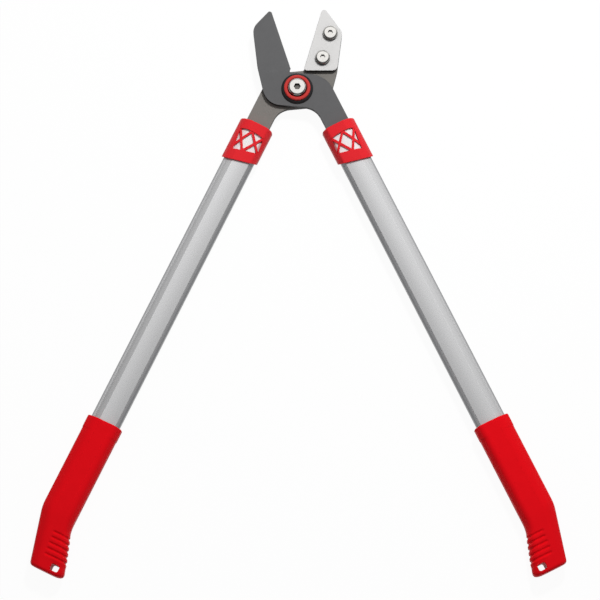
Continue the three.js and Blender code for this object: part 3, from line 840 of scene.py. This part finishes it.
# Screws, bolt and rings
def domed_bolt(name, head, shank_radius, shank_end, seat, centre):
    profile = [(0, shank_end), (shank_radius, shank_end), (shank_radius, seat), (head["radius"], seat)]
    for angle in quarter(dome_steps):
        profile.append((
            head["flat"] + (head["radius"] - head["flat"]) * math.cos(angle),
            seat + head["rim"] + (head["height"] - head["rim"]) * math.sin(angle),
        ))
    top = seat + head["height"]
    profile.append((0, top))
    body = as_object(name, turned(profile, centre=centre))
    depth = head["socket_depth"]
    socket_points = hexagon(head["socket_width"], centre)
    socket = as_object(name + "_socket", prism(socket_points, top - depth, top + overrun))
    body = carved(body, socket)
    # The socket's faces take the second material, which for the pivot bolt is a darker copy painting the
    # socket's shade
    middle = pivot + Vector((*centre, top - depth / 2)) * MM
    reach = Vector((head["socket_width"] / math.sqrt(3), depth / 2)) * MM * socket_reach_share
    for face in body.data.polygons:
        away = face.center - middle
        inside = away.xy.length < reach.x and abs(away.z) < reach.y
        face.material_index = 1 if inside else 0
    return softened(body, head_soft_edge, angle=50)


for level_name, spot in screw_spots.items():
    dressed(
        domed_bolt(
            f"anvil_screw_{level_name}_look", screw_head, anvil_screw_radius,
            carrier_back + seat_gap, anvil_front + seat_gap, spot,
        ),
        "anvil_side", f"anvil_screw_{level_name}", "bright_steel", screw_steel,
    )

dressed(
    domed_bolt(
        "pivot_bolt_look", bolt_head, bolt_radius,
        nut_back - bolt_past_nut, base_ring_front + seat_gap, (0, 0),
    ),
    "anvil_side", "pivot_bolt", "bright_steel", screw_steel, shaded_socket_steel,
)


def red_ring_profile():
    inner = bolt_head["radius"] + fit_gap
    back = base_ring_front + seat_gap
    middle = (inner + red_ring_radius) / 2
    profile = [(inner, back), (red_ring_radius, back)]
    for step in range(2 * dome_steps + 1):
        angle = math.pi * step / dome_steps / 2
        profile.append((
            middle + (red_ring_radius - inner) / 2 * math.cos(angle),
            back + red_ring_base + red_ring_crown * math.sin(angle),
        ))
    return profile


dressed(
    as_object("pivot_red_ring_look", turned(red_ring_profile())),
    "anvil_side", "pivot_red_ring", "ring_red", ring_red,
)


def rounded_profile(corners):
    """A profile of (radius, height, round) corners, each rounded."""
    return [(p.x, p.y) for p in without_repeats(rounded(corners, small_corner_steps))]


base_ring_profile = rounded_profile([
    (bolt_radius + fit_gap, base_ring_back, bore_round),
    (base_ring_radius, base_ring_back, base_ring_back_round),
    (base_ring_radius, base_ring_front - base_ring_chamfer, base_ring_front_round),
    (base_ring_radius - base_ring_chamfer, base_ring_front, base_ring_front_round),
    (bolt_radius + fit_gap, base_ring_front, bore_round),
])
dressed(
    as_object("pivot_base_ring_look", turned(base_ring_profile)),
    "anvil_side", "pivot_base_ring", "ring_black", ring_black,
)

washer_profile = rounded_profile([
    (bolt_radius + fit_gap, rear_washer_back, rear_washer_front_round),
    (rear_washer_radius, rear_washer_back, rear_washer_back_round),
    (rear_washer_radius, rear_washer_front, rear_washer_front_round),
    (bolt_radius + fit_gap, rear_washer_front, bore_round),
])
dressed(
    as_object("pivot_rear_washer_look", turned(washer_profile)),
    "anvil_side", "pivot_rear_washer", "bright_steel", bright_steel,
)


def lock_nut():
    corner = nut_width / math.sqrt(3)
    bulk = as_object("pivot_lock_nut_look", turned([
        (bolt_radius + fit_gap, nut_back),
        (nut_collar_radius - nut_collar_taper, nut_back),
        (nut_collar_radius, nut_back + nut_collar_taper_height),
        (nut_collar_radius, nut_back + nut_collar_height),
        (corner - nut_chamfer, nut_back + nut_collar_height),
        (corner, nut_back + nut_collar_height + nut_chamfer / 2),
        (corner, nut_front - nut_chamfer / 2),
        (corner - nut_chamfer, nut_front),
        (bolt_radius + fit_gap, nut_front),
    ]))
    envelope = as_object("nut_envelope", prism(hexagon(nut_width), nut_back - overrun, nut_front + overrun))
    return softened(carved(bulk, envelope, operation="INTERSECT"), head_soft_edge)


dressed(lock_nut(), "anvil_side", "pivot_lock_nut", "bright_steel", bright_steel)


# Sections, as corners (out, height, radius) from the outer side over the front to the inner one, and back
def both_faces(front):
    return front + [(out, -height, radius) for out, height, radius in reversed(front)]


def section(corners, steps, face_steps):
    """Rounded corners, and points between them that cut each face into steps."""
    arcs = rounded(corners, steps)
    points = []
    for i, count in enumerate(face_steps):
        arc = arcs[i * (steps + 1):(i + 1) * (steps + 1)]
        start, end = arc[-1], arcs[((i + 1) * (steps + 1)) % len(arcs)]
        points += arc
        points += [start.lerp(end, k / (count + 1)) for k in range(1, count + 1)]
    return points


tube_corners = both_faces([
    (tube_width / 2, tube_outer_edge / 2, tube_outer_round),
    (tube_width / 2 - tube_shoulder, tube_thickness / 2 - tube_shoulder_fall, tube_shoulder_round),
    (tube_width / 2 - tube_facet, tube_thickness / 2, tube_facet_round),
    (tube_width / 2 - tube_middle, tube_thickness / 2 - tube_middle_fall, tube_middle_round),
    (tube_inner_facet - tube_width / 2, tube_thickness / 2 - tube_inner_fall, tube_inner_round),
    (-tube_width / 2, tube_inner_edge / 2, tube_side_round),
])
tube_face_steps = (1, 1, 3, 3, 1, 3, 1, 3, 3, 1, 1, 3)


def tube_section(growth):
    """The tube's outline, grown by a distance."""
    return section(grown(tube_corners, growth), section_steps, tube_face_steps)


def collar_rim(length):
    """Gives how far along the handle a collar of this length ends, at a point (out, height)."""
    slope = (collar_outer_length - collar_inner_length) / (2 * collar_half_width)
    front = tube_thickness / 2 + fit_gap + collar_wall

    def along(p):
        return collar_top + length - slope * (collar_half_width - p.x) - collar_rim_lean * (front - p.y)
    return along


def tube(name, side):
    outer = section(tube_corners, section_steps, tube_face_steps)
    inner, lip = tube_section(-tube_wall), tube_section(-tube_end_chamfer)
    first = collar_top + collar_outer_length + lit_tube_margin
    last = tube_end - tube_end_chamfer
    rings = [(tube_start, inner), (tube_start, lip), (tube_start + tube_end_chamfer, outer)]
    rings.append((collar_rim(collar_outer_length - lit_tube_margin), outer))
    rings += [(first + (last - first) * step / tube_steps, outer) for step in range(tube_steps + 1)]
    rings += [(tube_end, lip), (tube_end, inner)]
    made = as_object(name, loft([handle_ring(side, *ring) for ring in rings], loop=True))
    # The outside under the collar takes the second material, a lighter copy that paints light where the
    # collar's shade falls in its windows
    for face in made.data.polygons[len(outer):3 * len(outer)]:
        face.material_index = 1
    return made


# Collar: shares of its half width, from the handle's middle line, and of its outer length
window_shares = [
    (0.69, 0.239), (0.4, 0.218), (-0.02, 0.216), (-0.42, 0.228),
    (-0.76, 0.251), (-0.83, 0.603), (0.54, 0.722),
]
bar_shares = [
    ((0.69, 0.239), (0.01, 0.689)),
    ((-0.02, 0.216), (0.7, 0.679)),
    ((-0.02, 0.216), (-0.88, 0.622)),
    ((-0.76, 0.251), (-0.02, 0.67)),
]


def on_collar(shares):
    return Vector((shares[0] * collar_half_width, collar_top + shares[1] * collar_outer_length))


def block(name, side, points, back, front):
    return as_object(name, prism([on_handle(side, p.y, p.x) for p in points], back, front))


def bar_points(start_shares, end_shares):
    """A lattice bar between two places, a bar's width longer at each end."""
    start, end = on_collar(start_shares), on_collar(end_shares)
    along = (end - start).normalized()
    across = Vector((-along.y, along.x)) * lattice_bar / 2
    start -= along * lattice_bar
    end += along * lattice_bar
    return [start + across, end + across, end - across, start - across]


def collar_rings(side, growth, near, length, near_round, far_round):
    """Rings of a sleeve from near to the lower rim of a collar of this length, with both ends rounded."""
    rings = []
    for angle in quarter(rim_steps):
        pull = near_round * (1 - math.sin(angle))
        depth = near_round * (1 - math.cos(angle))
        rings.append(handle_ring(side, near + depth, tube_section(growth - pull)))
    for angle in quarter(rim_steps):
        pull = far_round * (1 - math.cos(angle))
        depth = far_round * (1 - math.sin(angle))
        rings.append(handle_ring(side, collar_rim(length - depth), tube_section(growth - pull)))
    return rings


def collar(name, side, slot_back, slot_front):
    """A sleeve with a slot for the shank, and a window whose bars lie a little below the surface."""
    growth = fit_gap + collar_wall
    rings = collar_rings(side, growth, collar_top, collar_outer_length, collar_rim_round, collar_lip_round)
    bore = tube_section(fit_gap)
    rings.append(handle_ring(side, collar_rim(collar_outer_length), bore))
    rings.append(handle_ring(side, collar_top + collar_end_wall, bore))
    body = as_object(name, loft(rings))
    slot = block(name + "_slot", side, rounded([
        (shank_width / 2 + fit_gap, collar_top - overrun, shank_step_round),
        (shank_width / 2 + fit_gap, tube_start, shank_step_round),
        (-shank_width / 2 - fit_gap, tube_start, shank_step_round),
        (-shank_width / 2 - fit_gap, collar_top - overrun, shank_step_round),
    ]), slot_back - fit_gap, slot_front + fit_gap)
    past = tube_thickness
    window_points = [on_collar(shares) for shares in window_shares]
    window = block(name + "_window", side, window_points, -past, past)
    bar_end = past + lattice_bar_overrun
    bars = [block(name + "_bar", side, bar_points(*shares), -bar_end, bar_end) for shares in bar_shares]
    recess = block(name + "_recess", side, window_points, -past, past)
    core = as_object(name + "_core", loft(collar_rings(
        side, growth - lattice_recess, collar_top - overrun, collar_outer_length + overrun,
        recess_round, recess_round,
    )))
    recess = carved(recess, core)
    window = carved(window, *bars)
    body = carved(body, slot, window, recess)
    return softened(body, collar_soft_edge, angle=45)


# Grip
def bend_shift(along, bend, blend, slope):
    """How far a line that bends off by a slope has moved, where the bend is blended."""
    entered = along - bend + blend
    if entered <= 0:
        return 0
    if entered >= 2 * blend:
        return slope * (along - bend)
    return slope * entered * entered / (4 * blend)


def rounded_off(depth, radius):
    """How far a round at an end draws the side in, at a depth from that end."""
    lost = max(radius - depth, 0)
    return radius - math.sqrt(radius ** 2 - lost ** 2)


def smooth_step(value):
    value = min(max(value, 0), 1)
    return value * value * (3 - 2 * value)


def grip_half_thickness(along):
    thinning = (grip_thickness - grip_end_thickness) / 2 / (grip_length - grip_outer_bend)
    return grip_thickness / 2 - bend_shift(along, grip_outer_bend, grip_outer_blend, thinning)


def grip_corners(along):
    from_end = grip_length - along
    lip = grip_lip_height * (1 - smooth_step((along - grip_lip_length) / grip_lip_fade))
    pull = rounded_off(from_end, grip_end_round) + rounded_off(along, grip_top_round)
    outer = grip_outer_half + lip - bend_shift(along, grip_outer_bend, grip_outer_blend, grip_outer_slope)
    inner = -grip_inner_half - lip - bend_shift(along, grip_inner_bend, grip_inner_blend, grip_inner_slope)
    inner += rounded_off(from_end, grip_heel_round)
    half = grip_half_thickness(along)
    return grown(both_faces([
        (outer, grip_outer_edge / 2, grip_outer_round),
        (outer - grip_facet, half, grip_facet_round),
        (inner + grip_inner_facet, half, grip_inner_round),
        (inner, grip_inner_edge / 2, grip_side_round),
    ]), -pull)


def groove_at(along, out):
    """Depth of the grooves, less the rise of the ribs between them, at a point of the surface."""
    depth = 0
    for groove in range(groove_count):
        middle = groove_first + groove_pitch * groove
        start = -groove_start - groove_start_step * groove
        across = abs(along - middle) / (groove_width / 2)
        if across < 1:
            profile = math.cos(math.pi / 2 * across) ** 2
            depth = max(depth, groove_depth * profile * smooth_step((start - out) / groove_fade + 0.5))
    first = groove_first - groove_pitch
    last = groove_first + groove_pitch * groove_count
    window = smooth_step((along - first) / groove_pitch) * smooth_step((last - along) / groove_pitch)
    return depth - rib_rise * window * smooth_step((-out - grip_inner_half * rib_start_share) / rib_fade)


# The bore has as many points as a ring of the grip
grip_face_steps = (3, 14, 4, 3, 4, 14, 3, 3)
bore_face_steps = (1, 3, 6, 6, 1, 3, 1, 6, 6, 3, 1, 3)


def grip_ring(side, along):
    points = section(grip_corners(along), grip_section_steps, grip_face_steps)
    count = len(points)
    moved = []
    for k, point in enumerate(points):
        tangent = (points[(k + 1) % count] - points[k - 1]).normalized()
        depth = groove_at(along, point.x)
        moved.append(point - Vector((tangent.y, -tangent.x)) * depth)
    return handle_ring(side, grip_top + along, moved)


def grip_places():
    """Where the grip's rings lie along it, closer together at its ends, its lip and its grooves."""
    places = [grip_top_round * (1 - math.cos(angle)) for angle in quarter(small_corner_steps)]
    place = places[-1]
    grooves_end = groove_first + groove_pitch * groove_count
    while place < grip_length - grip_heel_round:
        step = grip_station
        if abs(place - grip_lip_length) < grip_lip_margin:
            step = grip_lip_station
        elif groove_first - groove_margin_above < place < grooves_end + groove_margin_below:
            step = groove_station
        place += step
        places.append(min(place, grip_length - grip_heel_round))
    for angle in quarter(grip_end_steps)[1:]:
        places.append(grip_length - grip_heel_round * (1 - math.sin(angle)))
    return places


def grip_hole(name, side):
    """The tool that cuts the hanging hole, flared where it leaves the grip's faces."""
    along = grip_length - hole_from_end
    out = hole_from_inner_edge - grip_inner_half
    out -= bend_shift(along, grip_inner_bend, grip_inner_blend, grip_inner_slope)
    face = grip_half_thickness(along)
    levels = [(hole_flare * hole_flare_past_share, face + hole_tool_past_face)]
    for angle in quarter(flare_steps):
        height = face + hole_flare_lift - hole_flare * (1 - math.cos(angle))
        levels.append((hole_flare * (1 - math.sin(angle)), height))
    rings = []
    for spread, height in levels + [(spread, -height) for spread, height in reversed(levels)]:
        half_width, half_length = hole_width / 2 + spread, hole_length / 2 + spread
        corners = [
            (out + across * half_width, grip_top + along + down * half_length, hole_round + spread)
            for across, down in ((1, -1), (1, 1), (-1, 1), (-1, -1))
        ]
        ring = rounded(corners, small_corner_steps)
        rings.append([Vector((*on_handle(side, p.y, p.x), height)) for p in ring])
    return as_object(name, loft(rings))


def grip(name, side):
    bore, mouth = (
        section(grown(tube_corners, growth), small_corner_steps, bore_face_steps)
        for growth in (fit_gap, fit_gap + grip_mouth_flare)
    )
    rings = [
        handle_ring(side, tube_end + fit_gap, bore),
        handle_ring(side, grip_top + grip_mouth_length, bore),
        handle_ring(side, grip_top, mouth),
    ]
    rings += [grip_ring(side, along) for along in grip_places()]
    return carved(as_object(name, loft(rings)), grip_hole(name + "_hole", side))


for side_name, side, body_name, slot_back, slot_front in (
    ("left", -1, "anvil_side", carrier_back, carrier_front),
    ("right", 1, "blade_side", blade_back, blade_front),
):
    dressed(
        tube(side_name + "_tube_look", side),
        body_name, side_name + "_tube", "anodised_tube", anodised_tube, lit_tube, weighted=False,
    )
    dressed(
        collar(side_name + "_collar_look", side, slot_back, slot_front),
        body_name, side_name + "_collar", "red_plastic", collar_red,
    )
    dressed(
        grip(side_name + "_grip_look", side),
        body_name, side_name + "_grip", "red_plastic", grip_red, sharp=50, weighted=False,
    )


# Floor: pale, with a white glow for cameras and gloss that leaves a faint shadow of the lopper
def is_ray(tree, *kinds):
    """One for rays of any of these kinds, and zero for all others."""
    rays = tree.nodes.new("ShaderNodeLightPath").outputs
    result = rays[f"Is {kinds[0]} Ray"]
    for kind in kinds[1:]:
        result = added(tree, "Math", {0: result, 1: rays[f"Is {kind} Ray"]}, operation="MAXIMUM")[0]
    return result


def floor_material():
    made = Surface("floor", colour(*floor_colour), 0.7, Specular_IOR_Level=0.0)
    tree = made.tree
    seen = is_ray(tree, "Camera", "Glossy", "Transmission")
    made.paint(made.mixed(seen, colour(*floor_bounce), colour(*floor_colour)))
    glow_share = added(tree, "Math", {0: seen, 1: floor_glow_share}, operation="MULTIPLY")[0]
    glow = added(tree, "Emission", {"Color": (1, 1, 1, 1)})[0]
    blend = added(tree, "MixShader", {0: glow_share, 1: made.shader.outputs[0], 2: glow})[0]
    tree.links.new(blend, tree.nodes["Material Output"].inputs["Surface"])
    return made.material


floor_mesh = bpy.data.meshes.new("floor")
floor_mesh.from_pydata(
    [(x * half_floor, y * half_floor, 0) for x, y in ((-1, -1), (1, -1), (1, 1), (-1, 1))],
    [], [(0, 1, 2, 3)],
)
floor = bpy.data.objects.new("floor", floor_mesh)
bpy.context.scene.collection.objects.link(floor)
floor.data.materials.append(floor_material())

# World: a white backdrop for cameras, and a studio sky that is brightest above and behind the jaws
world = bpy.data.worlds.new("studio")
bpy.context.scene.world = world
world.use_nodes = True
world_tree = world.node_tree
backdrop = world_tree.nodes["Background"]
backdrop.inputs["Color"].default_value = (1, 1, 1, 1)
world_place = world_tree.nodes.new("ShaderNodeTexCoord").outputs["Generated"]


def sky_level(direction, stops):
    """The level of the sky by how far a ray points in a direction: stops are (cosine, level)."""
    feeds = {0: world_place, 1: Vector(direction).normalized()}
    facing = added(world_tree, "VectorMath", feeds, operation="DOT_PRODUCT")["Value"]
    share = added(world_tree, "MapRange", {"Value": facing, "From Min": -1})["Result"]
    ramp = world_tree.nodes.new("ShaderNodeValToRGB")
    while len(ramp.color_ramp.elements) < len(stops):
        ramp.color_ramp.elements.new(0.5)
    for stop, (cosine, level) in zip(ramp.color_ramp.elements, stops):
        stop.position = (cosine + 1) / 2
        stop.color = (level, level, level, 1)
    world_tree.links.new(share, ramp.inputs["Fac"])
    return ramp.outputs["Color"]


def sky_mix(factor, first, second):
    """Two levels mixed: a Mix node has them in its inputs 2 and 3."""
    return added(world_tree, "Mix", {0: factor, 2: first, 3: second})[0]


light_sky = sky_level((0.05, 0.4, 0.91), [(-0.3, 0.0), (0.0, 0.3), (0.5, 0.3), (0.8, 0.33), (1.0, 0.37)])
gloss_above = sky_level((0.0, 0.9, 0.43), [
    (-0.2, 0.1), (0.38, 0.3), (0.5, 0.45), (0.6, 0.85), (0.7, 1.35), (0.86, 1.35), (0.95, 0.35),
])
gloss_across = sky_level((1.0, 0.0, 0.0), [
    (-0.8, 0.1), (-0.6, 0.2), (-0.15, 1.0), (0.15, 1.0), (0.35, 0.8), (0.7, 0.45),
])
gloss_sky = added(world_tree, "Math", {0: gloss_above, 1: gloss_across}, operation="MULTIPLY")[0]
lit = sky_mix(is_ray(world_tree, "Glossy"), light_sky, gloss_sky)
seen_directly = is_ray(world_tree, "Camera", "Transmission")
world_tree.links.new(sky_mix(seen_directly, lit, 1.0), backdrop.inputs["Strength"])

# Lamp
lamp_data = bpy.data.lights.new("key", "AREA")
lamp_data.shape = "DISK"
lamp_data.size = lamp_size
lamp_data.energy = lamp_power
lamp = bpy.data.objects.new("key", lamp_data)
lamp.location = lamp_spot
lamp.rotation_mode = "QUATERNION"
lamp.rotation_quaternion = (Vector(lamp_target) - Vector(lamp_spot)).to_track_quat("-Z", "Y")
lamp.visible_glossy = False
bpy.context.scene.collection.objects.link(lamp)

# Camera
down = Vector((0, math.sin(camera_tilt), -math.cos(camera_tilt)))
upright = Vector((0, math.cos(camera_tilt), math.sin(camera_tilt)))
sideways = Vector((1, 0, 0))
top = upright * math.cos(camera_roll) + sideways * math.sin(camera_roll)
right = down.cross(top)
camera_data = bpy.data.cameras.new("camera")
camera_data.lens = camera_lens
camera_data.sensor_width = camera_sensor
camera_data.clip_end = camera_sight
camera = bpy.data.objects.new("camera", camera_data)
turn = Matrix((right, top, -down)).transposed()
camera.matrix_world = Matrix.Translation(pivot + Vector(camera_spot) * MM) @ turn.to_4x4()
bpy.context.scene.collection.objects.link(camera)
bpy.context.scene.camera = camera

bpy.context.scene.view_settings.view_transform = "Standard"

# Brings the scene up to date
bpy.context.view_layer.update()
